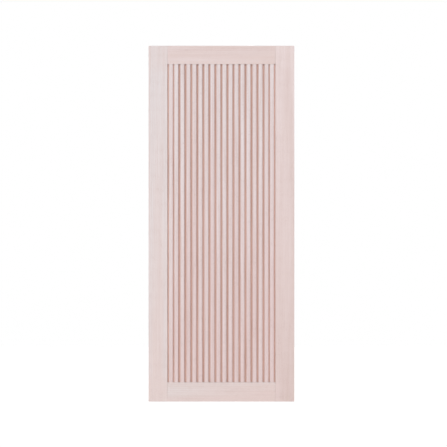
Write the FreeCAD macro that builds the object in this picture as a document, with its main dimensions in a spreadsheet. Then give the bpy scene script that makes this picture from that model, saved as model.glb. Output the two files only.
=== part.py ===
"""A solid wood wardrobe door: a framed leaf of vertical slats, hung on three concealed cup hinges.

Millimetres, +Z up. The front of the door faces -Y, and +X runs from its hinge edge to its free edge.
The origin is midway between the two screw holes of the middle hinge plate, on the face that seats
against the inside of the wardrobe's side.
"""

import FreeCAD, Part
import os
import re

import Sketcher

# Driving dimensions

SIZES = {
    # The leaf and its frame
    "door_width": 500.0,
    "door_height": 1220.0,
    "door_thickness": 22.0,
    "stile_width": 65.0,
    "top_rail_width": 63.0,
    "bottom_rail_width": 66.0,
    "frame_round": 1.0,
    # Mortise and tenon at each corner of the frame
    "tenon_length": 38.0,
    "tenon_thickness": 8.0,
    "tenon_shoulder": 14.0,
    "tenon_margin": 4.0,
    "mortise_relief": 1.0,
    # Slats between the rails, with a tongue at each end
    "slat_thickness": 9.0,
    "slat_setback": 0.4,
    "slat_round": 0.8,
    "groove_width": 7.0,
    "edge_groove_width": 5.0,
    "tongue_length": 8.0,
    "tongue_thickness": 4.5,
    "tongue_shoulder": 1.5,
    "tongue_play": 0.1,
    "tongue_relief": 1.0,
    # Back panel in its rebate, and the beads and brads that hold it
    "panel_thickness": 5.0,
    "panel_play": 1.0,
    "rebate_width": 10.0,
    "bead_round": 2.5,
    "brad_diameter": 1.4,
    "brad_length": 20.0,
    # Where the wardrobe's side stands behind the leaf
    "side_overlay": 16.0,
    "door_gap": 3.5,
    "plate_setback": 37.0,
    "hinge_inset": 110.0,
    # Hinge cup, let into the back of the hinge stile
    "cup_diameter": 35.0,
    "cup_depth": 13.5,
    "cup_wall": 1.2,
    "cup_floor": 1.0,
    "cup_play": 0.1,
    "cup_edge_distance": 3.0,
    "flange_thickness": 1.2,
    "flange_lip": 1.5,
    "cup_screw_spacing": 45.0,
    "cup_screw_offset": 9.5,
    "flange_margin": 6.0,
    "ear_thickness": 2.6,
    # Pivot pin, and the arm's neck that turns on it
    "pin_diameter": 3.0,
    "pin_end": 0.4,
    "pin_running_gap": 0.05,
    "eye_wall": 1.25,
    "eye_wall_gap": 0.35,
    "eye_floor_gap": 0.5,
    "neck_width": 11.6,
    "neck_side_gap": 0.4,
    "neck_thickness": 3.6,
    "neck_flange_gap": 2.2,
    "elbow_round": 2.6,
    # Hinge arm, a channel over the plate's saddle
    "arm_sheet": 1.6,
    "arm_width": 16.0,
    "arm_side_gap": 0.3,
    "arm_start": 6.0,
    "arm_tail": 30.0,
    "arm_round": 1.2,
    "cheek_round": 2.5,
    "riser_lap": 6.0,
    # Hinge plate, screwed to the wardrobe's side
    "plate_thickness": 2.2,
    "plate_hole_spacing": 32.0,
    "plate_hole_diameter": 5.3,
    "plate_hole_margin": 5.3,
    "saddle_gap": 4.0,
    "saddle_tail": 26.0,
    "saddle_round": 1.5,
    # Screws
    "cup_screw_diameter": 3.5,
    "cup_screw_head": 6.8,
    "cup_screw_head_height": 2.0,
    "cup_screw_tip": 3.0,
    "cup_screw_cover": 8.0,
    "arm_screw_diameter": 5.0,
    "arm_screw_head": 9.0,
    "arm_screw_head_height": 2.2,
    "arm_screw_tip": 0.8,
    "arm_screw_short": 1.2,
    "arm_screw_spacing": 28.0,
    "screw_play": 0.1,
    "head_bevel": 0.6,
    "recess_length": 4.0,
    "recess_width": 1.1,
    "recess_depth": 1.0,
}

# Counts

SLATS = 18
NARROW_GROOVES = 4
SIDE_BRADS = 4
RAIL_BRADS = 2

# Places worked out from the driving dimensions

DERIVED = {
    # In the leaf, from its lower front corner at the hinge edge
    "opening_left": "stile_width",
    "opening_right": "door_width - stile_width",
    "opening_low": "bottom_rail_width",
    "opening_high": "door_height - top_rail_width",
    "opening_width": "opening_right - opening_left",
    "rebate_left": "opening_left - rebate_width",
    "rebate_right": "opening_right + rebate_width",
    "rebate_low": "opening_low - rebate_width",
    "rebate_high": "opening_high + rebate_width",
    "rebate_face": "slat_setback + slat_thickness",
    "rebate_depth": "door_thickness - rebate_face",
    "bead_face": "rebate_face + panel_thickness",
    "bead_thickness": "door_thickness - bead_face",
    "bead_middle": "bead_face + bead_thickness / 2",
    "tenon_face": "(door_thickness - tenon_thickness) / 2",
    "tenon_setback": "rebate_width + tenon_margin",
    "mortise_depth": "tenon_length + mortise_relief",
    "tongue_face": "slat_setback + (slat_thickness - tongue_thickness) / 2",
    "tongue_depth": "tongue_length + tongue_relief",
    "panel_lap": "rebate_width - panel_play",
    "narrow_grooves": f"{NARROW_GROOVES} * edge_groove_width",
    "wide_grooves": f"{SLATS + 1 - NARROW_GROOVES} * groove_width",
    "slat_width": f"(opening_width - narrow_grooves - wide_grooves) / {SLATS}",
    # The leaf in the part's own frame
    "leaf_x": "-side_overlay",
    "leaf_back": "-plate_setback - door_gap",
    "leaf_front": "leaf_back - door_thickness",
    "leaf_bottom": "-door_height / 2",
    "hinge_rise": "door_height / 2 - hinge_inset",
    # In a hinge, from the leaf's hinge edge, its back face and the hinge's own height
    "cup_bore": "cup_diameter / 2",
    "cup_x": "cup_edge_distance + cup_bore",
    "cup_radius": "cup_bore - cup_play",
    "cup_hollow": "cup_radius - cup_wall",
    "cup_screw_x": "cup_x + cup_screw_offset",
    "cup_screw_length": "door_thickness - cup_screw_cover",
    "pin_radius": "pin_diameter / 2",
    "pin_half": "ear_outside + pin_end",
    "eye_radius": "pin_radius + eye_wall",
    "neck_side": "neck_width / 2",
    "neck_half": "neck_thickness / 2",
    "pin_x": "cup_x - sqrt(cup_hollow ^ 2 - neck_side ^ 2) + eye_radius + eye_wall_gap",
    "pin_depth": "cup_depth - cup_floor - eye_floor_gap - eye_radius",
    "ear_inside": "neck_side + neck_side_gap",
    "ear_outside": "ear_inside + ear_thickness",
    "ear_x": "cup_x - sqrt(cup_hollow ^ 2 - ear_outside ^ 2) - cup_wall / 2",
    "neck_reach": "pin_depth + flange_thickness + neck_flange_gap + neck_half",
    "arm_back": "pin_x + neck_reach + neck_half",
    "arm_inside": "arm_width / 2 - arm_sheet",
    "arm_end": "screw_line + arm_tail",
    "riser_end": "arm_start + riser_lap",
    "screw_line": "door_gap + plate_setback",
    "plate_top": "side_overlay + plate_thickness",
    "plate_wing": "plate_hole_diameter / 2 + plate_hole_margin",
    "saddle_top": "arm_back - arm_sheet",
    "saddle_height": "saddle_top - side_overlay",
    "saddle_half": "arm_inside - arm_side_gap",
    "arm_screw_length": "arm_back - side_overlay - arm_screw_short",
}

HINGES = {"upper": "hinge_rise", "middle": "0", "lower": "-hinge_rise"}
TOLERANCE = 1e-4
PLANES = {"x": "YZ_Plane", "y": "XZ_Plane", "z": "XY_Plane"}

doc = FreeCAD.newDocument("wardrobe_door")
sizes = doc.addObject("Spreadsheet::Sheet", "sizes")
pieces = []


def fill_sheet():
    """Writes each driving dimension in its own row, with its name as the alias."""
    for row, (name, number) in enumerate(SIZES.items(), start=1):
        sizes.set(f"A{row}", name)
        sizes.set(f"B{row}", f"{number:g}")
        sizes.setAlias(f"B{row}", name)
    doc.recompute()


def bound(text):
    """An expression as other objects write it, with worked-out places spelled out from the sheet."""

    def spell(word):
        name = word.group(0)
        if name in DERIVED:
            return f"({bound(DERIVED[name])})"
        return f"sizes.{name}" if name in SIZES else name

    return re.sub(r"[a-z][a-z_]*", spell, text)


def value(text):
    """The number that an expression has now."""
    return float(sizes.evalExpression(bound(text)))


def bind(thing, **properties):
    """Binds properties of an object to expressions; a double underline stands for a dot."""
    for name, text in properties.items():
        thing.setExpression(name.replace("__", "."), bound(text))


def place(thing, x, y, z, rotation=None):
    """Puts an object at a bound position, turned by a fixed rotation."""
    thing.Placement = FreeCAD.Placement(FreeCAD.Vector(), rotation or FreeCAD.Rotation())
    bind(thing, Placement__Base__x=x, Placement__Base__y=y, Placement__Base__z=z)


def new_object(kind, label):
    """A document object with the label that names it."""
    thing = doc.addObject(kind, label)
    thing.Label = label
    return thing


def keep(thing):
    """Lists an object as one of the door's sub-parts."""
    pieces.append(thing)
    return thing


def group(members, label):
    """Several identical fasteners as one sub-part of separate solids."""
    compound = new_object("Part::Compound", label)
    compound.Links = members
    return keep(compound)


# Sketches and features


def new_sketch(body, name, axis, start):
    """A sketch square to an axis, at a bound distance along it."""
    sketch = body.newObject("Sketcher::SketchObject", name)
    plane = next(p for p in body.Origin.OriginFeatures if p.Role == PLANES[axis])
    sketch.AttachmentSupport = (plane, [""])
    sketch.MapMode = "FlatFace"
    # The normal of a sketch on the XZ plane points to -Y
    bind(sketch, AttachmentOffset__Base__z=f"-({start})" if axis == "y" else start)
    return sketch


def fix_point(sketch, geometry, point, across, up):
    """Binds one point's distances from the sketch's origin."""
    for kind, text in (("DistanceX", across), ("DistanceY", up)):
        index = sketch.addConstraint(Sketcher.Constraint(kind, -1, 1, geometry, point, value(text)))
        sketch.setExpression(f"Constraints[{index}]", bound(text))


def draw_polygon(sketch, corners):
    """A closed outline of straight lines through bound corners."""
    points = [FreeCAD.Vector(value(across), value(up), 0) for across, up in corners]
    count = len(points)
    for index in range(count):
        sketch.addGeometry(Part.LineSegment(points[index], points[(index + 1) % count]), False)
    for index in range(count):
        sketch.addConstraint(Sketcher.Constraint("Coincident", index, 2, (index + 1) % count, 1))
    for index, (across, up) in enumerate(corners):
        fix_point(sketch, index, 1, across, up)


def draw_circle(sketch, across, up, radius):
    """A circle with a bound centre and radius."""
    centre = FreeCAD.Vector(value(across), value(up), 0)
    circle = sketch.addGeometry(Part.Circle(centre, FreeCAD.Vector(0, 0, 1), value(radius)), False)
    fix_point(sketch, circle, 3, across, up)
    index = sketch.addConstraint(Sketcher.Constraint("Radius", circle, value(radius)))
    sketch.setExpression(f"Constraints[{index}]", bound(radius))


def extrude(body, name, sketch, axis, length, cut):
    """Pads a sketch, or pockets it, along the positive direction of its axis."""
    feature = body.newObject("PartDesign::Pocket" if cut else "PartDesign::Pad", name)
    feature.Profile = sketch
    feature.Reversed = (axis == "y") != cut
    bind(feature, Length=length)
    body.Tip = feature


def block(body, name, axis, left, right, low, high, start, length, cut=False):
    """A rectangular bar, or a rectangular recess, from a start along an axis."""
    sketch = new_sketch(body, f"{name}_outline", axis, start)
    draw_polygon(sketch, [(left, low), (right, low), (right, high), (left, high)])
    extrude(body, name, sketch, axis, length, cut)


def disc(body, name, axis, centres, radius, start, length, cut=False):
    """Round bars, or round holes, of one radius about one or more centres."""
    sketch = new_sketch(body, f"{name}_outline", axis, start)
    for across, up in centres:
        draw_circle(sketch, across, up, radius)
    extrude(body, name, sketch, axis, length, cut)


def turn(body, name, corners):
    """Revolves an outline of radius and height about Z."""
    sketch = new_sketch(body, f"{name}_outline", "y", "0")
    draw_polygon(sketch, corners)
    feature = body.newObject("PartDesign::Revolution", name)
    feature.Profile = sketch
    feature.ReferenceAxis = (sketch, ["V_Axis"])
    body.Tip = feature


def round_edges(body, name, radius, chosen):
    """Rounds the straight edges of the body so far whose two ends pass the test."""
    doc.recompute()
    base = body.Tip
    edges = [
        f"Edge{index}"
        for index, edge in enumerate(base.Shape.Edges, start=1)
        if isinstance(edge.Curve, Part.Line) and chosen(*(corner.Point for corner in edge.Vertexes))
    ]
    fillet = body.newObject("PartDesign::Fillet", name)
    fillet.Base = (base, edges)
    bind(fillet, Radius=radius)
    body.Tip = fillet


def lies_at(first, second, **places):
    """True if both points lie at every place named, such as y=0."""
    ends = (first, second)
    return all(abs(getattr(p, axis) - at) < TOLERANCE for axis, at in places.items() for p in ends)


def runs_along(first, second, axis):
    """True if the line between two points has a length along an axis."""
    return abs(getattr(first, axis) - getattr(second, axis)) > TOLERANCE


# Frame: two stiles with mortises, and two rails with tenons, grooves and a rebate behind

TENONS = {
    "bottom": ("tenon_shoulder", "opening_low - tenon_setback"),
    "top": ("opening_high + tenon_setback", "door_height - tenon_shoulder"),
}


def place_in_leaf(body, x="0"):
    """Puts a sub-part drawn from the leaf's lower front corner in its place."""
    place(body, f"leaf_x + {x}", "leaf_front", "leaf_bottom")
    keep(body)


def cut_rebate(body):
    """The rebate that is routed round the back of the opening once the frame is glued up."""
    block(
        body, "rebate", "y", "rebate_left", "rebate_right", "rebate_low", "rebate_high",
        "rebate_face", "rebate_depth", cut=True,
    )


def spread(low, high, count):
    """Evenly spaced places between two limits, half a step in from each."""
    return [f"{low} + ({high} - {low}) * {2 * step + 1} / {2 * count}" for step in range(count)]


def bore_side_brads(body, start):
    """Holes along X for the brads of an upright bead."""
    centres = [("bead_middle", z) for z in spread("opening_low", "opening_high", SIDE_BRADS)]
    disc(body, "brad_holes", "x", centres, "brad_diameter / 2", start, "brad_length", cut=True)


def bore_rail_brads(body, start):
    """Holes along Z for the brads of a bead that lies along a rail."""
    centres = [(x, "bead_middle") for x in spread("opening_left", "opening_right", RAIL_BRADS)]
    disc(body, "brad_holes", "z", centres, "brad_diameter / 2", start, "brad_length", cut=True)


def make_stile(label, left, right, inner, mortise_start, brad_start):
    """An upright of the frame, full height, mortised at each end for the rails."""
    body = new_object("PartDesign::Body", label)
    block(body, "board", "y", left, right, "0", "door_height", "0", "door_thickness")
    joint = value(inner)
    round_edges(
        body, "arrises", "frame_round",
        lambda a, b: not lies_at(a, b, x=joint) or lies_at(a, b, y=0),
    )
    for end, (low, high) in TENONS.items():
        block(
            body, f"{end}_mortise", "y", mortise_start, f"{mortise_start} + mortise_depth", low, high,
            "tenon_face", "tenon_thickness", cut=True,
        )
    cut_rebate(body)
    bore_side_brads(body, brad_start)
    place_in_leaf(body)
    return body


def bore_for_hinges(body):
    """Cup bores, and pilot holes for the cups' screws, in the back of the hinge stile."""
    heights = [f"door_height / 2 + ({rise})" for rise in HINGES.values()]
    disc(
        body, "cup_bores", "y", [("cup_x", z) for z in heights], "cup_bore",
        "door_thickness - cup_depth - cup_play", "cup_depth + cup_play", cut=True,
    )
    disc(
        body, "screw_pilots", "y",
        [("cup_screw_x", f"{z} {side} cup_screw_spacing / 2") for z in heights for side in "+-"],
        "cup_screw_diameter / 2 + screw_play", "cup_screw_cover", "cup_screw_length", cut=True,
    )


def make_rail(label, low, high, outer, groove_low, tenon, brad_start):
    """A cross rail of the frame, tenoned at both ends and grooved for the tongues of the slats."""
    body = new_object("PartDesign::Body", label)
    block(body, "board", "y", "opening_left", "opening_right", low, high, "0", "door_thickness")
    edge = value(outer)
    round_edges(
        body, "arrises", "frame_round",
        lambda a, b: runs_along(a, b, "x") and (lies_at(a, b, z=edge) or lies_at(a, b, y=0)),
    )
    block(
        body, "tenons", "y", "opening_left - tenon_length", "opening_right + tenon_length", *tenon,
        "tenon_face", "tenon_thickness",
    )
    block(
        body, "slat_groove", "y",
        "opening_left", "opening_right", groove_low, f"{groove_low} + tongue_depth",
        "tongue_face - tongue_play", "tongue_thickness + 2 * tongue_play", cut=True,
    )
    cut_rebate(body)
    bore_rail_brads(body, brad_start)
    place_in_leaf(body)


def make_frame():
    """The four members of the frame."""
    hinge_stile = make_stile(
        "hinge_stile", "0", "opening_left", "opening_left",
        "opening_left - mortise_depth", "opening_left - brad_length",
    )
    bore_for_hinges(hinge_stile)
    make_stile(
        "closing_stile", "opening_right", "door_width", "opening_right", "opening_right", "opening_right"
    )
    make_rail(
        "bottom_rail", "0", "opening_low", "0",
        "opening_low - tongue_depth", TENONS["bottom"], "opening_low - brad_length",
    )
    make_rail(
        "top_rail", "opening_high", "door_height", "door_height",
        "opening_high", TENONS["top"], "opening_high",
    )


# Slats, which share what the grooves leave of the opening


def make_slat(index):
    """One slat, drawn about its own hinge-side edge, with a tongue at each end for the rails."""
    body = new_object("PartDesign::Body", f"slat_{index + 1:02d}")
    block(
        body, "strip", "y", "0", "slat_width", "opening_low", "opening_high",
        "slat_setback", "slat_thickness",
    )
    front = value("slat_setback")
    round_edges(
        body, "arrises", "slat_round",
        lambda a, b: lies_at(a, b, y=front) and runs_along(a, b, "z"),
    )
    block(
        body, "tongues", "y", "tongue_shoulder", "slat_width - tongue_shoulder",
        "opening_low - tongue_length", "opening_high + tongue_length", "tongue_face", "tongue_thickness",
    )
    # Grooves passed on the way to this slat: half of the narrow ones lie at each side of the row
    passed = index + 1
    edge = NARROW_GROOVES // 2
    narrow = min(passed, edge) + max(0, passed - (SLATS + 1 - edge))
    grooves = f"{narrow} * edge_groove_width + {passed - narrow} * groove_width"
    place_in_leaf(body, f"opening_left + {index} * slat_width + {grooves}")


def make_slats():
    """The row of slats, from the hinge side."""
    for index in range(SLATS):
        make_slat(index)


# Back panel, its beads and the brads that pin them


def make_panel():
    """The thin panel behind the slats, lying in the rebate with room to swell."""
    body = new_object("PartDesign::Body", "back_panel")
    block(
        body, "board", "y", "opening_left - panel_lap", "opening_right + panel_lap",
        "opening_low - panel_lap", "opening_high + panel_lap", "rebate_face", "panel_thickness",
    )
    place_in_leaf(body)


def make_bead(label, left, right, low, high, inner):
    """A strip that holds the panel in its rebate, rounded along its inner back edge."""
    body = new_object("PartDesign::Body", label)
    block(body, "strip", "y", left, right, low, high, "bead_face", "bead_thickness")
    axis, text = inner
    edge = {axis: value(text), "y": value("door_thickness")}
    round_edges(body, "round", "bead_round", lambda a, b: lies_at(a, b, **edge))
    place_in_leaf(body)
    return body


def make_beads():
    """Two long beads between two short ones."""
    bottom = make_bead(
        "bottom_bead", "rebate_left", "rebate_right", "rebate_low", "opening_low", ("z", "opening_low")
    )
    top = make_bead(
        "top_bead", "rebate_left", "rebate_right", "opening_high", "rebate_high", ("z", "opening_high")
    )
    hinge_side = make_bead(
        "hinge_side_bead", "rebate_left", "opening_left", "opening_low", "opening_high",
        ("x", "opening_left"),
    )
    closing_side = make_bead(
        "closing_side_bead", "opening_right", "rebate_right", "opening_low", "opening_high",
        ("x", "opening_right"),
    )
    bore_rail_brads(bottom, "opening_low - brad_length")
    bore_rail_brads(top, "opening_high")
    bore_side_brads(hinge_side, "opening_left - brad_length")
    bore_side_brads(closing_side, "opening_right")


def make_brad(name, x, z, towards):
    """A headless pin driven from the face of a bead into the frame."""
    brad = new_object("Part::Cylinder", name)
    bind(brad, Radius="brad_diameter / 2", Height="brad_length")
    rotation = FreeCAD.Rotation(FreeCAD.Vector(0, 0, 1), FreeCAD.Vector(*towards))
    place(brad, f"leaf_x + {x}", "leaf_front + bead_middle", f"leaf_bottom + {z}", rotation)
    return brad


def make_brads():
    """The brads of all four beads, as one group."""
    brads = []
    for number, z in enumerate(spread("opening_low", "opening_high", SIDE_BRADS), start=1):
        brads.append(make_brad(f"hinge_side_brad_{number}", "opening_left", z, (-1, 0, 0)))
        brads.append(make_brad(f"closing_side_brad_{number}", "opening_right", z, (1, 0, 0)))
    for number, x in enumerate(spread("opening_left", "opening_right", RAIL_BRADS), start=1):
        brads.append(make_brad(f"bottom_brad_{number}", x, "opening_low", (0, 0, -1)))
        brads.append(make_brad(f"top_brad_{number}", x, "opening_high", (0, 0, 1)))
    group(brads, "bead_brads")


# Hinges, drawn from the leaf's hinge edge and back face at the hinge's own height


def place_hinge(thing, rise):
    """Puts a hinge piece at its height on the back of the leaf."""
    place(thing, "leaf_x", "leaf_back", rise)
    keep(thing)


def make_cup(label, rise):
    """A pressed cup with a winged flange, and two ears inside that carry the pivot pin."""
    body = new_object("PartDesign::Body", label)
    middle = [("cup_x", "0")]
    screws = [("cup_screw_x", f"{side} cup_screw_spacing / 2") for side in "+-"]
    disc(body, "shell", "y", middle, "cup_radius", "-cup_depth", "cup_depth")
    disc(body, "flange", "y", middle, "cup_bore + flange_lip", "0", "flange_thickness")
    block(
        body, "flange_wings", "y", "cup_screw_x - flange_margin", "cup_screw_x + flange_margin",
        "-cup_screw_spacing / 2", "cup_screw_spacing / 2", "0", "flange_thickness",
    )
    disc(body, "wing_ends", "y", screws, "flange_margin", "0", "flange_thickness")
    disc(
        body, "hollow", "y", middle, "cup_hollow",
        "cup_floor - cup_depth", "cup_depth - cup_floor + flange_thickness", cut=True,
    )
    for side, low, high in (
        ("upper", "ear_inside", "ear_outside"),
        ("lower", "-ear_outside", "-ear_inside"),
    ):
        block(
            body, f"{side}_ear", "y", "ear_x", "pin_x + eye_radius", low, high,
            "cup_floor / 2 - cup_depth", "cup_depth - cup_floor / 2 - pin_depth + eye_radius",
        )
    disc(
        body, "pin_hole", "z", [("pin_x", "-pin_depth")], "pin_radius",
        "-pin_half", "2 * pin_half", cut=True,
    )
    disc(
        body, "screw_holes", "y", screws, "cup_screw_diameter / 2 + screw_play",
        "0", "flange_thickness", cut=True,
    )
    place_hinge(body, rise)


def make_pin(label, rise):
    """The pivot pin, held in the cup's ears and turning in the arm's eye."""
    pin = new_object("Part::Cylinder", label)
    bind(pin, Radius="pin_radius", Height="2 * pin_half")
    place(pin, "leaf_x + pin_x", "leaf_back - pin_depth", f"{rise} - pin_half")
    keep(pin)


def arm_screw_centres():
    """The arm's two screws, one each side of the plate's own screw line."""
    return [(f"screw_line {side} arm_screw_spacing / 2", "0") for side in "+-"]


def make_arm(label, rise):
    """An arm whose neck reaches into the cup to the pin, and whose channel sits over the plate."""
    body = new_object("PartDesign::Body", label)
    neck_low = "-pin_depth - neck_half"
    block(
        body, "neck", "z", "pin_x", "arm_back", neck_low, "-pin_depth + neck_half",
        "-neck_side", "neck_width",
    )
    block(
        body, "riser", "z", "arm_back - neck_thickness", "arm_back", neck_low, "riser_end",
        "-neck_side", "neck_width",
    )
    elbow = {"x": value("arm_back"), "y": value(neck_low)}
    round_edges(body, "elbow", "elbow_round", lambda a, b: lies_at(a, b, **elbow))
    disc(body, "eye", "z", [("pin_x", "-pin_depth")], "eye_radius", "-neck_side", "neck_width")
    block(
        body, "web", "z", "saddle_top", "arm_back", "arm_start", "arm_end",
        "-arm_width / 2", "arm_width",
    )
    for side, start in (("upper", "arm_inside"), ("lower", "-arm_width / 2")):
        block(
            body, f"{side}_cheek", "z", "plate_top + arm_side_gap", "arm_back",
            "arm_start", "arm_end", start, "arm_sheet",
        )
    back, side, foot = value("arm_back"), value("arm_width / 2"), value("plate_top + arm_side_gap")
    ends = (value("arm_start"), value("arm_end"))
    round_edges(
        body, "channel_round", "arm_round",
        lambda a, b: lies_at(a, b, x=back) and abs(abs(a.z) - side) < TOLERANCE and runs_along(a, b, "y"),
    )
    round_edges(
        body, "cheek_corners", "cheek_round",
        lambda a, b: runs_along(a, b, "z") and any(lies_at(a, b, x=foot, y=end) for end in ends),
    )
    disc(
        body, "pin_bore", "z", [("pin_x", "-pin_depth")], "pin_radius + pin_running_gap",
        "-neck_side", "neck_width", cut=True,
    )
    disc(
        body, "screw_holes", "x", arm_screw_centres(), "arm_screw_diameter / 2 + screw_play",
        "saddle_top", "arm_sheet", cut=True,
    )
    place_hinge(body, rise)


def make_plate(label, rise):
    """A cross-shaped plate with a hole in each wing, and a saddle that the arm is screwed down to."""
    body = new_object("PartDesign::Body", label)
    holes = [("screw_line", f"{side} plate_hole_spacing / 2") for side in "+-"]
    block(
        body, "wings", "x", "screw_line - plate_wing", "screw_line + plate_wing",
        "-plate_hole_spacing / 2", "plate_hole_spacing / 2", "side_overlay", "plate_thickness",
    )
    disc(body, "wing_ends", "x", holes, "plate_wing", "side_overlay", "plate_thickness")
    block(
        body, "saddle", "x", "riser_end + saddle_gap", "screw_line + saddle_tail",
        "-saddle_half", "saddle_half", "side_overlay", "saddle_height",
    )
    top = value("saddle_top")
    round_edges(
        body, "saddle_ends", "saddle_round",
        lambda a, b: lies_at(a, b, x=top) and runs_along(a, b, "z"),
    )
    disc(
        body, "arm_screw_holes", "x", arm_screw_centres(), "arm_screw_diameter / 2 + screw_play",
        "side_overlay", "saddle_height", cut=True,
    )
    disc(
        body, "mounting_holes", "x", holes, "plate_hole_diameter / 2",
        "side_overlay", "plate_thickness", cut=True,
    )
    place_hinge(body, rise)


# Screws, drawn head up along Z from the underside of the head


def make_screw(name, kind, length):
    """A pan-headed screw with a cross recess."""
    body = new_object("PartDesign::Body", name)
    head = f"{kind}_head / 2"
    height = f"{kind}_head_height"
    shank = f"{kind}_diameter / 2"
    tip = f"{kind}_tip"
    turn(body, "turned", [
        ("0", height), (f"{head} - head_bevel", height), (head, f"{height} - head_bevel"), (head, "0"),
        (shank, "0"), (shank, f"{tip} - ({length})"), (f"{shank} - {tip} / 2", f"-({length})"),
        ("0", f"-({length})"),
    ])
    for cut_name, across, up in (
        ("recess", "recess_length", "recess_width"),
        ("cross_recess", "recess_width", "recess_length"),
    ):
        block(
            body, cut_name, "z", f"-{across} / 2", f"{across} / 2", f"-{up} / 2", f"{up} / 2",
            f"{height} - recess_depth", "recess_depth", cut=True,
        )
    return body


def make_screws():
    """The cup screws in the leaf and the arm screws in the plates, a group of each."""
    into_leaf = FreeCAD.Rotation(FreeCAD.Vector(1, 0, 0), -90)
    into_plate = FreeCAD.Rotation(FreeCAD.Vector(0, 1, 0), 90)
    cup_screws = []
    arm_screws = []
    for hinge, rise in HINGES.items():
        for number, side in enumerate("+-", start=1):
            screw = make_screw(
                f"{hinge}_cup_screw_{number}", "cup_screw", "cup_screw_length + flange_thickness"
            )
            height = f"{rise} {side} cup_screw_spacing / 2"
            place(screw, "leaf_x + cup_screw_x", "leaf_back + flange_thickness", height, into_leaf)
            cup_screws.append(screw)
        for number, (along, _) in enumerate(arm_screw_centres(), start=1):
            screw = make_screw(f"{hinge}_arm_screw_{number}", "arm_screw", "arm_screw_length")
            place(screw, "leaf_x + arm_back", f"leaf_back + {along}", rise, into_plate)
            arm_screws.append(screw)
    group(cup_screws, "cup_screws")
    group(arm_screws, "arm_screws")


def make_hinges():
    """Three hinges on one upright axis."""
    for hinge, rise in HINGES.items():
        make_cup(f"{hinge}_hinge_cup", rise)
        make_pin(f"{hinge}_hinge_pin", rise)
        make_arm(f"{hinge}_hinge_arm", rise)
        make_plate(f"{hinge}_hinge_plate", rise)


# Build, check and export


def check_document():
    """Stops if any object failed, or has an empty or faulty shape."""
    for thing in doc.Objects:
        if "Invalid" in thing.State or "Error" in thing.State:
            raise RuntimeError(f"{thing.Label} could not be worked out: {thing.State}")
    for piece in pieces:
        if piece.Shape.isNull() or not piece.Shape.isValid() or not piece.Shape.Solids:
            raise RuntimeError(f"{piece.Label} has no sound solid")


fill_sheet()
make_frame()
make_slats()
make_panel()
make_beads()
make_brads()
make_hinges()
make_screws()
doc.recompute()
check_document()
os.makedirs("parts", exist_ok=True)
for piece in pieces:
    piece.Shape.exportStep(f"parts/{piece.Label}.step")
print(f"{len(pieces)} sub-parts written")
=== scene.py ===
import bpy
import numpy as np
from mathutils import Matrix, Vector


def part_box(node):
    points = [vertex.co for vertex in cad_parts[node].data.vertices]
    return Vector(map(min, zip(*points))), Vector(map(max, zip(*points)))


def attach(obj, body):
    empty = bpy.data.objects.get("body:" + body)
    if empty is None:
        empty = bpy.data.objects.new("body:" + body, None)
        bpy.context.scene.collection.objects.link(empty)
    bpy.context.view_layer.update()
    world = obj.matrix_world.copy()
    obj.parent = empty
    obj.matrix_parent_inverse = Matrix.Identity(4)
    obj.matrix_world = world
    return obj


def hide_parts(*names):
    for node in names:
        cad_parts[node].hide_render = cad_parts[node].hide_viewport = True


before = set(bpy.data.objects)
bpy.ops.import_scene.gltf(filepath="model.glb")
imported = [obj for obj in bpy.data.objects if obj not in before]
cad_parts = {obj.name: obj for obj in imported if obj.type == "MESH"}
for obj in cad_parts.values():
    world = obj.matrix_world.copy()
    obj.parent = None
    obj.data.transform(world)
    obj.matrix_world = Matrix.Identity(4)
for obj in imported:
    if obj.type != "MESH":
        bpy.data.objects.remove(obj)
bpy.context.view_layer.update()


# --------------------------------------------------------------------------------------------------
# The frame: two stiles and two rails of a pale, pinkish hardwood, sanded and left bare. The rails
# are tenoned into blind mortises in the stiles and glued, so each corner shows a fine butt line.

def tone(red, green, blue):
    """A colour as it looks on screen (0 to 255) turned into the linear colour that shaders mix."""
    seen = np.array([red, green, blue]) / 255.0
    linear = np.where(seen <= 0.04045, seen / 12.92, ((seen + 0.055) / 1.055) ** 2.4)
    return (*linear.tolist(), 1.0)


def put(tree, kind, inputs=None, **settings):
    """Adds a node: settings are its own choices, inputs are plain values or sockets to join."""
    node = tree.nodes.new(kind)
    for name, choice in settings.items():
        setattr(node, name, choice)
    for name, given in (inputs or {}).items():
        if isinstance(given, bpy.types.NodeSocket):
            tree.links.new(given, node.inputs[name])
        else:
            node.inputs[name].default_value = given
    return node


def reckon(tree, operation, first, second=0.0, clamp=False):
    """Arithmetic on two values, each a socket or a plain number. clamp keeps it within 0 and 1."""
    terms = {0: first, 1: second}
    return put(tree, "ShaderNodeMath", terms, operation=operation, use_clamp=clamp).outputs[0]


def reckon_vector(tree, operation, first, second=(0.0, 0.0, 0.0), result="Vector"):
    """Arithmetic on two vectors, each a socket or plain numbers. It gives a Vector or a Value."""
    terms = {0: first, 1: second}
    return put(tree, "ShaderNodeVectorMath", terms, operation=operation).outputs[result]


def weighed(tree, *shares):
    """Values times their weights, added up in the order given."""
    terms = [reckon(tree, "MULTIPLY", value, weight) for value, weight in shares]
    total = terms[0]
    for term in terms[1:]:
        total = reckon(tree, "ADD", total, term)
    return total


def figure(tree, place, across, along, detail, roughness=0.5, result="Fac"):
    """Noise drawn out along the grain: so many cells a metre across the board and along it."""
    drawn = reckon_vector(tree, "MULTIPLY", place, (across, across, along))
    return put(tree, "ShaderNodeTexNoise", {"Vector": drawn, "Scale": 1.0, "Detail": detail,
                                            "Roughness": roughness}).outputs[result]


def between(tree, value, low, high, start=0.0, end=1.0):
    """A value brought smoothly from the span low to high into the span start to end."""
    return put(tree, "ShaderNodeMapRange", {"Value": value, "From Min": low, "From Max": high,
                                            "To Min": start, "To Max": end},
               interpolation_type="SMOOTHSTEP").outputs["Result"]


def blend(tree, share, first, second):
    """Two colours mixed by a share from 0 to 1."""
    return put(tree, "ShaderNodeMix", {0: share, 6: first, 7: second}, data_type="RGBA").outputs[2]


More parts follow.
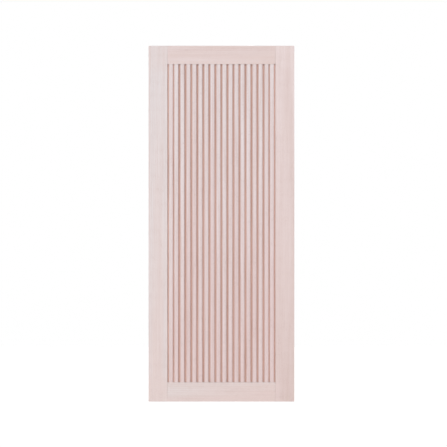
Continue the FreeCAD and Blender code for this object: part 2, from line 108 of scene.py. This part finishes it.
def finish_group(name, takes):
    """A node group that takes the named sockets and gives a Color, a Roughness and a Height. It
    comes with the sockets that bring its inputs in and those that lead its results out."""
    group = bpy.data.node_groups.new(name, "ShaderNodeTree")
    gives = {"Color": "Color", "Roughness": "Float", "Height": "Float"}
    for way, sockets in (("INPUT", takes), ("OUTPUT", gives)):
        for label, kind in sockets.items():
            group.interface.new_socket(name=label, in_out=way, socket_type=f"NodeSocket{kind}")
    brought_in = group.nodes.new("NodeGroupInput").outputs
    led_out = group.nodes.new("NodeGroupOutput").inputs
    return group, brought_in, led_out


def new_finish(name, group, colours, relief):
    """A material whose colour, roughness and bumps come from a finish group in these colours.
    relief is the strength of the bumps and their depth in metres. The group's node is given too."""
    finish = bpy.data.materials.new(name)
    finish.use_nodes = True
    tree = finish.node_tree
    look = put(tree, "ShaderNodeGroup", node_tree=group)
    for label, colour in colours.items():
        look.inputs[label].default_value = tone(*colour)
    strength, depth = relief
    bump = put(tree, "ShaderNodeBump", {"Height": look.outputs["Height"], "Strength": strength,
                                        "Distance": depth})
    shader = tree.nodes["Principled BSDF"]
    tree.links.new(look.outputs["Color"], shader.inputs["Base Color"])
    tree.links.new(look.outputs["Roughness"], shader.inputs["Roughness"])
    tree.links.new(bump.outputs["Normal"], shader.inputs["Normal"])
    return finish, look


def dress(node, finish):
    """Gives a CAD node's object this finish in place of its plain one."""
    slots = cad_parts[node].data.materials
    slots.clear()
    slots.append(finish)


# Solid grain: rings about a pith line that runs beside the board, streaks and clouds drawn out
# along it, and the short dark flecks of the rays. Its place is in metres with the grain along Z.
# Warmth leads from the pale wood to the blush. Cut is 1 on end grain, which drinks in more light.
grain, given, gives = finish_group("board_grain", {
    "Place": "Vector", "Pale": "Color", "Blush": "Color", "Ring": "Color", "Fleck": "Color",
    "Warmth": "Float", "Cut": "Float"})
rings_per_metre, sway_width = 230.0, 0.016

sway = figure(grain, given["Place"], across=9.0, along=1.3, detail=2.0, result="Color")
sway = reckon_vector(grain, "SUBTRACT", sway, (0.5, 0.5, 0.5))
sway = reckon_vector(grain, "MULTIPLY", sway, (sway_width, sway_width, 0.0))
swayed = reckon_vector(grain, "ADD", given["Place"], sway)
flat = reckon_vector(grain, "MULTIPLY", swayed, (1.0, 1.0, 0.0))
girth = reckon_vector(grain, "LENGTH", flat, result="Value")
year = reckon(grain, "FRACT", reckon(grain, "MULTIPLY", girth, rings_per_metre))
seasons = put(grain, "ShaderNodeValToRGB", {"Fac": year})
spring, summer = seasons.color_ramp.elements
spring.position, spring.color = 0.45, (0.0, 0.0, 0.0, 1.0)
summer.position, summer.color = 0.92, (1.0, 1.0, 1.0, 1.0)
seasons.color_ramp.elements.new(1.0).color = (0.1, 0.1, 0.1, 1.0)
late = seasons.outputs["Color"]

streak = figure(grain, given["Place"], across=170.0, along=1.7, detail=3.0, roughness=0.6)
streak = between(grain, streak, low=0.36, high=0.68)
cloud = figure(grain, given["Place"], across=26.0, along=1.1, detail=2.0)
cloud = between(grain, cloud, low=0.32, high=0.68, start=0.25, end=0.75)
crowd = figure(grain, given["Place"], across=60.0, along=9.0, detail=2.0, roughness=0.6)
speck = figure(grain, given["Place"], across=3600.0, along=330.0, detail=0.0)
speck = between(grain, weighed(grain, (speck, 1.0), (crowd, 0.30)), low=0.79, high=0.89)
fibre = figure(grain, given["Place"], across=2600.0, along=45.0, detail=2.0)

warm = reckon(grain, "ADD", cloud, given["Warmth"], clamp=True)
body = blend(grain, warm, given["Pale"], given["Blush"])
dark = weighed(grain, (late, 0.20), (streak, 0.13), (fibre, 0.10), (given["Cut"], 0.50))
ringed = blend(grain, dark, body, given["Ring"])
flecked = blend(grain, weighed(grain, (speck, 0.5)), ringed, given["Fleck"])
dull = between(grain, streak, low=0.0, high=1.0, start=0.50, end=0.62)
raised = weighed(grain, (fibre, 1.0), (late, 0.4), (speck, -0.7))
grain.links.new(flecked, gives["Color"])
grain.links.new(dull, gives["Roughness"])
grain.links.new(raised, gives["Height"])

wood_relief = (0.35, 0.00025)
wood_shine = 0.3
end_grain_from, end_grain_full = 0.0008, 0.0001
tinge_from, tinge_full = 0.11, 0.05


def bare_wood(name, pale, blush, ring, fleck, place=None, drift=(0.0, 0.0, 0.0), ends=None):
    """Bare sanded wood. place is the (shift, turn) that lays Object coordinates along the grain,
    and drift how much warmer the board grows with each metre in x, y and z. A board without place
    carries its own. ends is the height, up and down, at which an upright board is sawn off and
    shows its end grain, and how much warmer its wood has grown near the cut."""
    colours = {"Pale": pale, "Blush": blush, "Ring": ring, "Fleck": fleck}
    finish, board = new_finish(name, grain, colours, wood_relief)
    tree = finish.node_tree
    tree.nodes["Principled BSDF"].inputs["Specular IOR Level"].default_value = wood_shine
    if place:
        shift, turn = place
        here = put(tree, "ShaderNodeTexCoord").outputs["Object"]
        laid = put(tree, "ShaderNodeMapping", {"Vector": here, "Location": shift, "Rotation": turn})
        warmer = reckon_vector(tree, "DOT_PRODUCT", here, drift, result="Value")
        if ends:
            sawn_at, tinge = ends
            height = put(tree, "ShaderNodeSeparateXYZ", {0: here}).outputs["Z"]
            height = reckon(tree, "ABSOLUTE", height)
            cut = between(tree, height, sawn_at - end_grain_from, sawn_at - end_grain_full)
            near = between(tree, height, sawn_at - tinge_from, sawn_at - tinge_full, end=tinge)
            warmer = reckon(tree, "ADD", warmer, near)
            tree.links.new(cut, board.inputs["Cut"])
    else:
        laid = put(tree, "ShaderNodeAttribute", attribute_name="grain_place")
        warmer = put(tree, "ShaderNodeAttribute", attribute_name="warmth").outputs["Fac"]
    tree.links.new(laid.outputs["Vector"], board.inputs["Place"])
    tree.links.new(warmer, board.inputs["Warmth"])
    return finish


quarter_turn = 1.5708
stile_turn = (0.006, -0.010, 0.0)
rail_turn = (0.005, -quarter_turn + 0.008, 0.0)
stile_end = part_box("hinge_stile")[1].z
frame_marks = {"ring": (205, 178, 171), "fleck": (178, 142, 131)}

dress("hinge_stile", bare_wood(
    "hinge_stile_wood", pale=(228, 221, 223), blush=(227, 211, 209), **frame_marks,
    place=((0.062, 0.115, 0.31), stile_turn), drift=(0.0, 0.0, -0.5), ends=(stile_end, 0.35)))
dress("closing_stile", bare_wood(
    "closing_stile_wood", pale=(234, 219, 219), blush=(215, 193, 189), **frame_marks,
    place=((-0.372, 0.108, 1.74), stile_turn), drift=(0.0, 0.0, -0.75), ends=(stile_end, -0.08)))
dress("top_rail", bare_wood(
    "top_rail_wood", pale=(234, 221, 223), blush=(225, 205, 201), **frame_marks,
    place=((0.655, 0.117, 3.20), rail_turn), drift=(0.9, 0.0, 0.0)))
dress("bottom_rail", bare_wood(
    "bottom_rail_wood", pale=(225, 219, 219), blush=(226, 206, 203), **frame_marks,
    place=((-0.510, 0.112, 4.90), rail_turn), drift=(0.6, 0.0, 0.0)))


# --------------------------------------------------------------------------------------------------
# The slats: eighteen narrow strips ripped from the same boards, stood upright between the rails
# with a tongue at each end in the rails' grooves. Their front arrises are eased with sandpaper.
# The tongues are out of sight, so only the length between the rails is drawn.

def eased_outline(wide, deep, front_round, back_round, steps=5):
    """A rectangle wide by deep, about its middle, whose four corners are quarter circles: corner
    plus radius times (cos a, sin a), with a running over a quarter turn. The front is at low y."""
    corners = np.array([[1, 1], [-1, 1], [-1, -1], [1, -1]])
    radius = np.array([back_round, back_round, front_round, front_round])[:, None]
    turn = np.radians(np.arange(4) * 90.0)[:, None] + np.linspace(0.0, np.pi / 2.0, steps)[None, :]
    middle = corners * (np.array([wide, deep]) / 2.0 - radius)
    x = middle[:, :1] + radius * np.cos(turn)
    y = middle[:, 1:] + radius * np.sin(turn)
    return np.stack([x.ravel(), y.ravel()], axis=1)


def long_board(outline, start, end, stations, bow=(0.0, 0.0)):
    """An outline carried straight from start to end along Z. Point (i, j) is outline point i at
    station j, moved by bow times the sine of half a turn over the length. The sides are quads, and
    both ends are closed by a flat face."""
    share = np.linspace(0.0, 1.0, stations)
    bent = np.sin(np.pi * share)[:, None] * np.array(bow)[None, :]
    count = len(outline)
    points = np.empty((stations, count, 3))
    points[:, :, :2] = outline[None, :, :] + bent[:, None, :]
    points[:, :, 2] = (start + (end - start) * share)[:, None]
    ring = np.arange(count)
    level = np.arange(stations - 1)[:, None] * count
    near, far = level + ring, level + np.roll(ring, -1)
    sides = np.stack([near, far, far + count, near + count], axis=2).reshape(-1, 4)
    caps = np.stack([ring[::-1], ring + (stations - 1) * count])
    return points.reshape(-1, 3), sides, caps


def new_piece(name, points, faces, finish):
    """A mesh object at the origin, shaded smooth except across edges sharper than 35 degrees."""
    mesh = bpy.data.meshes.new(name)
    mesh.from_pydata(points, [], faces)
    mesh.polygons.foreach_set("use_smooth", np.ones(len(mesh.polygons), bool))
    mesh.set_sharp_from_angle(angle=np.radians(35.0))
    mesh.materials.append(finish)
    piece = bpy.data.objects.new(name, mesh)
    bpy.context.scene.collection.objects.link(piece)
    return piece


def lay_board(name, points, faces, grain_place, warmth, finish, node):
    """Puts a worked-out board into the scene with its own grain places and warmth, on the door."""
    piece = new_piece(name, points, faces, finish)
    own = piece.data.attributes
    own.new("grain_place", "FLOAT_VECTOR", "POINT").data.foreach_set("vector", grain_place.ravel())
    own.new("warmth", "FLOAT", "POINT").data.foreach_set("value", warmth)
    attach(piece, "door")
    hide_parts(node)


slat_finish = bare_wood("slat_wood", pale=(230, 220, 222), blush=(224, 203, 203),
                        ring=(205, 177, 170), fleck=(180, 144, 133))
slat_count, slat_stations = 18, 25
front_ease, back_ease = 0.0008, 0.0003
most_bow, most_tilt = 0.00012, 0.012
pith_from, pith_to = (-0.09, 0.06, 0.0), (0.09, 0.14, 9.0)
odd_warmth, warmer_upwards = 0.1, -0.9
boards_at_hand = np.random.default_rng(18)
slat_foot, slat_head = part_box("bottom_rail")[1].z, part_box("top_rail")[0].z
for number in range(1, slat_count + 1):
    node = f"slat_{number:02d}"
    low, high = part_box(node)
    middle = (low.x + high.x) / 2.0
    outline = eased_outline(high.x - low.x, high.y - low.y, front_ease, back_ease)
    outline += [middle, (low.y + high.y) / 2.0]
    bow = boards_at_hand.uniform(-most_bow, most_bow, 2)
    points, sides, caps = long_board(outline, slat_foot, slat_head, slat_stations, bow)
    pith = boards_at_hand.uniform(pith_from, pith_to)
    tilt = boards_at_hand.uniform(-most_tilt, most_tilt, 2)
    places = points - [middle, low.y, 0.0] + pith
    places[:, :2] += points[:, 2:] * tilt
    warmth = boards_at_hand.uniform(-odd_warmth, odd_warmth) + warmer_upwards * points[:, 2]
    lay_board(f"slat_strip_{number:02d}", points, sides.tolist() + caps.tolist(), places, warmth,
              slat_finish, node)


# --------------------------------------------------------------------------------------------------
# The back panel: a thin panel edge-glued from six boards, the outer two narrow and painted paler,
# in the rebate behind the slats. The paler outer boards are painted light: they lift the deeper
# shade that falls in the narrower grooves in front of them. The panel shows between the slats as
# warm, shaded strips.

panel_finish = bare_wood("panel_wood", pale=(238, 202, 189), blush=(213, 176, 164),
                         ring=(187, 142, 127), fleck=(160, 118, 104))
board_widths = np.array([0.040, 0.074, 0.081, 0.078, 0.075, 0.040])
# The outer boards' -0.52 is painted light: paler wood that lifts the shade in the narrow outer
# grooves.
board_warmth_with_painted_light = np.array([-0.52, 0.42, 0.42, 0.42, 0.42, -0.52])
board_ease, ease_steps, board_stations = 0.00005, 2, 2
glue_line = 0.00006
pith_from, pith_to = (-0.06, 0.05, 0.0), (0.06, 0.11, 9.0)
odd_warmth, warmer_upwards = 0.12, 0.35
low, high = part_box("back_panel")
joints = np.concatenate([[0.0], np.cumsum(board_widths) / board_widths.sum()])
joints = low.x + (high.x - low.x) * joints
points, faces, places, warmth = [], [], [], []
for left, right, tinge in zip(joints[:-1], joints[1:], board_warmth_with_painted_light):
    middle = (left + right) / 2.0
    outline = eased_outline(right - left - glue_line, high.y - low.y, board_ease, board_ease,
                            ease_steps)
    outline += [middle, (low.y + high.y) / 2.0]
    board, sides, caps = long_board(outline, low.z, high.z, board_stations)
    started = len(board) * len(points)
    faces += (sides + started).tolist() + (caps + started).tolist()
    points.append(board)
    pith = boards_at_hand.uniform(pith_from, pith_to)
    places.append(board - [middle, low.y, 0.0] + pith)
    tinge += boards_at_hand.uniform(-odd_warmth, odd_warmth)
    warmth.append(tinge + warmer_upwards * board[:, 2])
lay_board("panel_boards", np.concatenate(points), faces, np.concatenate(places),
          np.concatenate(warmth), panel_finish, "back_panel")


# --------------------------------------------------------------------------------------------------
# The beads: four slim strips of the frame's wood that hold the panel in its rebate from behind, cut
# square at their ends, with the inner back edge rounded over. Brads pin them to the frame.

def bead_outline(wide, deep, over, eased, steps=7):
    """A rectangle about its middle with its two high-y corners rounded, the high-x one over a wide
    quarter circle and the low-x one just eased: corner plus radius times (cos a, sin a). The rest
    is square."""
    turn = np.linspace(0.0, np.pi / 2.0, steps)
    x, y = wide / 2.0, deep / 2.0
    inner = np.stack([x - over + over * np.cos(turn), y - over + over * np.sin(turn)], axis=1)
    outer = np.stack([eased - x - eased * np.sin(turn), y - eased + eased * np.cos(turn)], axis=1)
    return np.concatenate([inner, outer, [[-x, -y], [x, -y]]])


bead_finish = bare_wood("bead_wood", pale=(232, 217, 214), blush=(227, 208, 204), **frame_marks)
rounded_over, outer_ease, bead_stations = 0.0025, 0.0006, 9
pith_from, pith_to = (-0.05, 0.04, 0.0), (0.05, 0.09, 9.0)
odd_warmth = 0.3
for node, inward in (("hinge_side_bead", 1.0), ("closing_side_bead", -1.0),
                     ("bottom_bead", 1.0), ("top_bead", -1.0)):
    low, high = (np.array(corner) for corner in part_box(node))
    wide, deep, long = high - low
    upright = long > wide
    if not upright:
        wide, long = long, wide
    outline = bead_outline(wide, deep, rounded_over, outer_ease)
    if inward < 0.0:
        outline = outline[::-1] * [-1.0, 1.0]
    points, sides, caps = long_board(outline, -long / 2.0, long / 2.0, bead_stations)
    places = points + boards_at_hand.uniform(pith_from, pith_to)
    if not upright:
        points, sides, caps = points[:, [2, 1, 0]], sides[:, ::-1], caps[:, ::-1]
    points += (low + high) / 2.0
    warmth = np.full(len(points), boards_at_hand.uniform(-odd_warmth, odd_warmth))
    lay_board(f"{node}_strip", points, sides.tolist() + caps.tolist(), places, warmth,
              bead_finish, node)


# --------------------------------------------------------------------------------------------------
# The hinges: three concealed cup hinges pressed from sheet steel and nickel plated. A cup is let
# into the stile's back and screwed by its flange. It swings on a pin about the arm, which is
# clamped to the mounting plate.

# Plated steel: soft cloudy patches, faint lines of the press and small darker rub marks.
plating, given, gives = finish_group("plated_steel", {
    "Place": "Vector", "Bright": "Color", "Dull": "Color"})
patch = figure(plating, given["Place"], across=160.0, along=160.0, detail=3.0)
patch = between(plating, patch, low=0.35, high=0.7)
rubbed = figure(plating, given["Place"], across=420.0, along=420.0, detail=4.0, roughness=0.7)
rubbed = between(plating, rubbed, low=0.56, high=0.75)
dulled = weighed(plating, (patch, 0.4), (rubbed, 0.5))
worn = between(plating, dulled, low=0.0, high=1.0, start=0.24, end=0.44)
press_lines = figure(plating, given["Place"], across=2200.0, along=120.0, detail=2.0)
plating.links.new(blend(plating, dulled, given["Bright"], given["Dull"]), gives["Color"])
plating.links.new(worn, gives["Roughness"])
plating.links.new(press_lines, gives["Height"])

steel_relief = (0.12, 0.0001)


def plated_steel(name, bright, dull):
    """Plated steel in two tones, with the fine lines of the press in its relief."""
    finish, plate = new_finish(name, plating, {"Bright": bright, "Dull": dull}, steel_relief)
    tree = finish.node_tree
    tree.nodes["Principled BSDF"].inputs["Metallic"].default_value = 1.0
    here = put(tree, "ShaderNodeTexCoord").outputs["Object"]
    tree.links.new(here, plate.inputs["Place"])
    return finish


hinge_finish = {
    "cup": plated_steel("cup_nickel", bright=(206, 202, 196), dull=(168, 163, 156)),
    "arm": plated_steel("arm_nickel", bright=(210, 206, 200), dull=(172, 167, 160)),
    "plate": plated_steel("plate_nickel", bright=(202, 199, 195), dull=(164, 160, 155)),
    "pin": plated_steel("pin_steel", bright=(190, 190, 192), dull=(140, 140, 143)),
}
for hinge in ("upper", "middle", "lower"):
    for piece, finish in hinge_finish.items():
        dress(f"{hinge}_hinge_{piece}", finish)


# --------------------------------------------------------------------------------------------------
# The hinge screws: nickel-plated steel with cross recesses, two in each cup's flange and two that
# clamp each arm to its plate.

dress("cup_screws", plated_steel("cup_screw_nickel", bright=(198, 197, 195), dull=(151, 149, 147)))
dress("arm_screws", plated_steel("arm_screw_nickel", bright=(201, 200, 198), dull=(153, 151, 149)))


# --------------------------------------------------------------------------------------------------
# The brads: plated steel pins without heads, driven through the beads into the frame, four in each
# long bead and two in each short one. Each ends in a small low dome on the bead's inner face.

def brad_pins(ends, outward, radius, length, crown, sides=14):
    """Round pins that run back from their end points against outward. Ring k lies at rise[k] along
    outward and is share[k] of the radius wide: straight for the length, then a crown that rises
    with 1 - share^2."""
    share = np.array([1.0, 1.0, 0.92, 0.75, 0.5, 0.22])
    rise = np.concatenate([[-length], crown * (1.0 - share[1:] ** 2)])
    turn = np.linspace(0.0, 2.0 * np.pi, sides, endpoint=False)
    through = np.array([0.0, 1.0, 0.0])
    level = np.cross(through, outward)
    round_about = level[:, None, :] * np.cos(turn)[:, None] + through * np.sin(turn)[:, None]
    points = (ends[:, None, None, :] + outward[:, None, None, :] * rise[:, None, None]
              + round_about[:, None, :, :] * radius * share[:, None, None])
    number = np.arange(points[..., 0].size).reshape(points.shape[:3])
    after = np.roll(number, -1, axis=2)
    walls = np.stack([number[:, :-1], after[:, :-1], after[:, 1:], number[:, 1:]], axis=3)
    feet, tips = number[:, 0, ::-1], number[:, -1]
    return points.reshape(-1, 3), walls.reshape(-1, 4).tolist() + feet.tolist() + tips.tolist()


brad_finish = plated_steel("brad_steel", bright=(196, 193, 190), dull=(142, 139, 136))
brad_radius, brad_length, brad_crown = 0.0007, 0.020, 0.0003
in_long_bead, in_short_bead = 4, 2
left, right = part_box("hinge_side_bead")[1].x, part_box("closing_side_bead")[0].x
foot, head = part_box("bottom_bead")[1].z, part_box("top_bead")[0].z
depth = (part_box("top_bead")[0].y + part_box("top_bead")[1].y) / 2.0
heights = foot + (head - foot) * (np.arange(in_long_bead) + 0.5) / in_long_bead
spots = left + (right - left) * (np.arange(in_short_bead) + 0.5) / in_short_bead
ends, outward = [], []
for x, z, towards in ((left, heights, (1.0, 0.0, 0.0)), (right, heights, (-1.0, 0.0, 0.0)),
                      (spots, foot, (0.0, 0.0, 1.0)), (spots, head, (0.0, 0.0, -1.0))):
    x, z = np.broadcast_arrays(x, z)
    ends.append(np.stack([x, np.full(x.shape, depth), z], axis=1))
    outward.append(np.tile(towards, (x.size, 1)))
points, faces = brad_pins(np.concatenate(ends), np.concatenate(outward),
                          brad_radius, brad_length, brad_crown)
brads = new_piece("brad_pins", points, faces, brad_finish)
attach(brads, "door")
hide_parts("bead_brads")


# --------------------------------------------------------------------------------------------------
# The studio: a white room with a pale painted floor, so far below the door that the view from the
# front is plain white. Broad soft light falls on the front from above and a little left, on both
# sides and on the back.

def eye_rays(tree):
    """1 for rays that the camera sees, straight or by way of metal or glass, and 0 for others."""
    ray = put(tree, "ShaderNodeLightPath").outputs
    seen = reckon(tree, "MAXIMUM", ray["Is Camera Ray"], ray["Is Glossy Ray"])
    return reckon(tree, "MAXIMUM", seen, ray["Is Transmission Ray"])


def shine(name, towards, spread, strength, colour=(1.0, 1.0, 1.0)):
    """Soft light from far off: towards points from the door to the light's middle, and spread is
    its width in degrees."""
    lamp = bpy.data.lights.new(name, "SUN")
    lamp.angle, lamp.energy, lamp.color = np.radians(spread), strength, colour
    hung = bpy.data.objects.new(name, lamp)
    bpy.context.scene.collection.objects.link(hung)
    hung.location = towards
    hung.rotation_euler = hung.location.to_track_quat("Z", "Y").to_euler()


scene = bpy.context.scene
scene.view_settings.view_transform = "Standard"

room = bpy.data.worlds.new("white_room")
room.use_nodes = True
scene.world = room
tree = room.node_tree
tree.nodes.clear()
fill = put(tree, "ShaderNodeBackground", {"Color": (1.0, 0.985, 0.975, 1.0), "Strength": 0.37})
white = put(tree, "ShaderNodeBackground", {"Color": (1.0, 1.0, 1.0, 1.0), "Strength": 1.0})
mixed = put(tree, "ShaderNodeMixShader", {0: eye_rays(tree), 1: fill.outputs[0],
                                          2: white.outputs[0]})
put(tree, "ShaderNodeOutputWorld", {"Surface": mixed.outputs[0]})

floor_paint = bpy.data.materials.new("floor_paint")
floor_paint.use_nodes = True
floor_glow = 0.24
tree = floor_paint.node_tree
paint = tree.nodes["Principled BSDF"]
paint.inputs["Base Color"].default_value = (0.86, 0.86, 0.86, 1.0)
paint.inputs["Roughness"].default_value = 0.8
glow = reckon(tree, "MULTIPLY", eye_rays(tree), floor_glow)
glow = put(tree, "ShaderNodeEmission", {"Strength": glow})
lifted = put(tree, "ShaderNodeAddShader", {0: paint.outputs[0], 1: glow.outputs[0]})
tree.links.new(lifted.outputs[0], tree.nodes["Material Output"].inputs["Surface"])

floor_height, floor_reach, floor_squares = -1.38, 9.0, 12
edge = np.linspace(-floor_reach, floor_reach, floor_squares + 1)
x, y = np.meshgrid(edge, edge)
ground = np.stack([x.ravel(), y.ravel(), np.full(x.size, floor_height)], axis=1)
number = np.arange(x.size).reshape(x.shape)
squares = np.stack([number[:-1, :-1], number[:-1, 1:], number[1:, 1:], number[1:, :-1]], axis=2)
studio_floor = new_piece("studio_floor", ground, squares.reshape(-1, 4).tolist(), floor_paint)

shine("key_light", (-0.8, -4.4, 1.6), spread=40.0, strength=1.01, colour=(0.96, 1.0, 1.0))
shine("front_light", (-0.4, -4.7, 0.3), spread=25.0, strength=0.58, colour=(1.0, 0.95, 0.925))
shine("left_light", (-4.4, 0.9, 2.2), spread=40.0, strength=0.85)
shine("right_light", (4.4, 0.9, 2.2), spread=40.0, strength=0.75)
shine("back_light", (1.3, 4.6, 2.6), spread=40.0, strength=1.00)

camera = bpy.data.cameras.new("front_view")
camera.sensor_width = 36.0
camera.lens = 93.97
camera.clip_end = 100.0
eye = bpy.data.objects.new("front_view", camera)
scene.collection.objects.link(eye)
eye.location = (0.2411, -4.0625, 0.0006)
eye.rotation_euler = (np.pi / 2.0, 0.0, 0.0)
scene.camera = eye
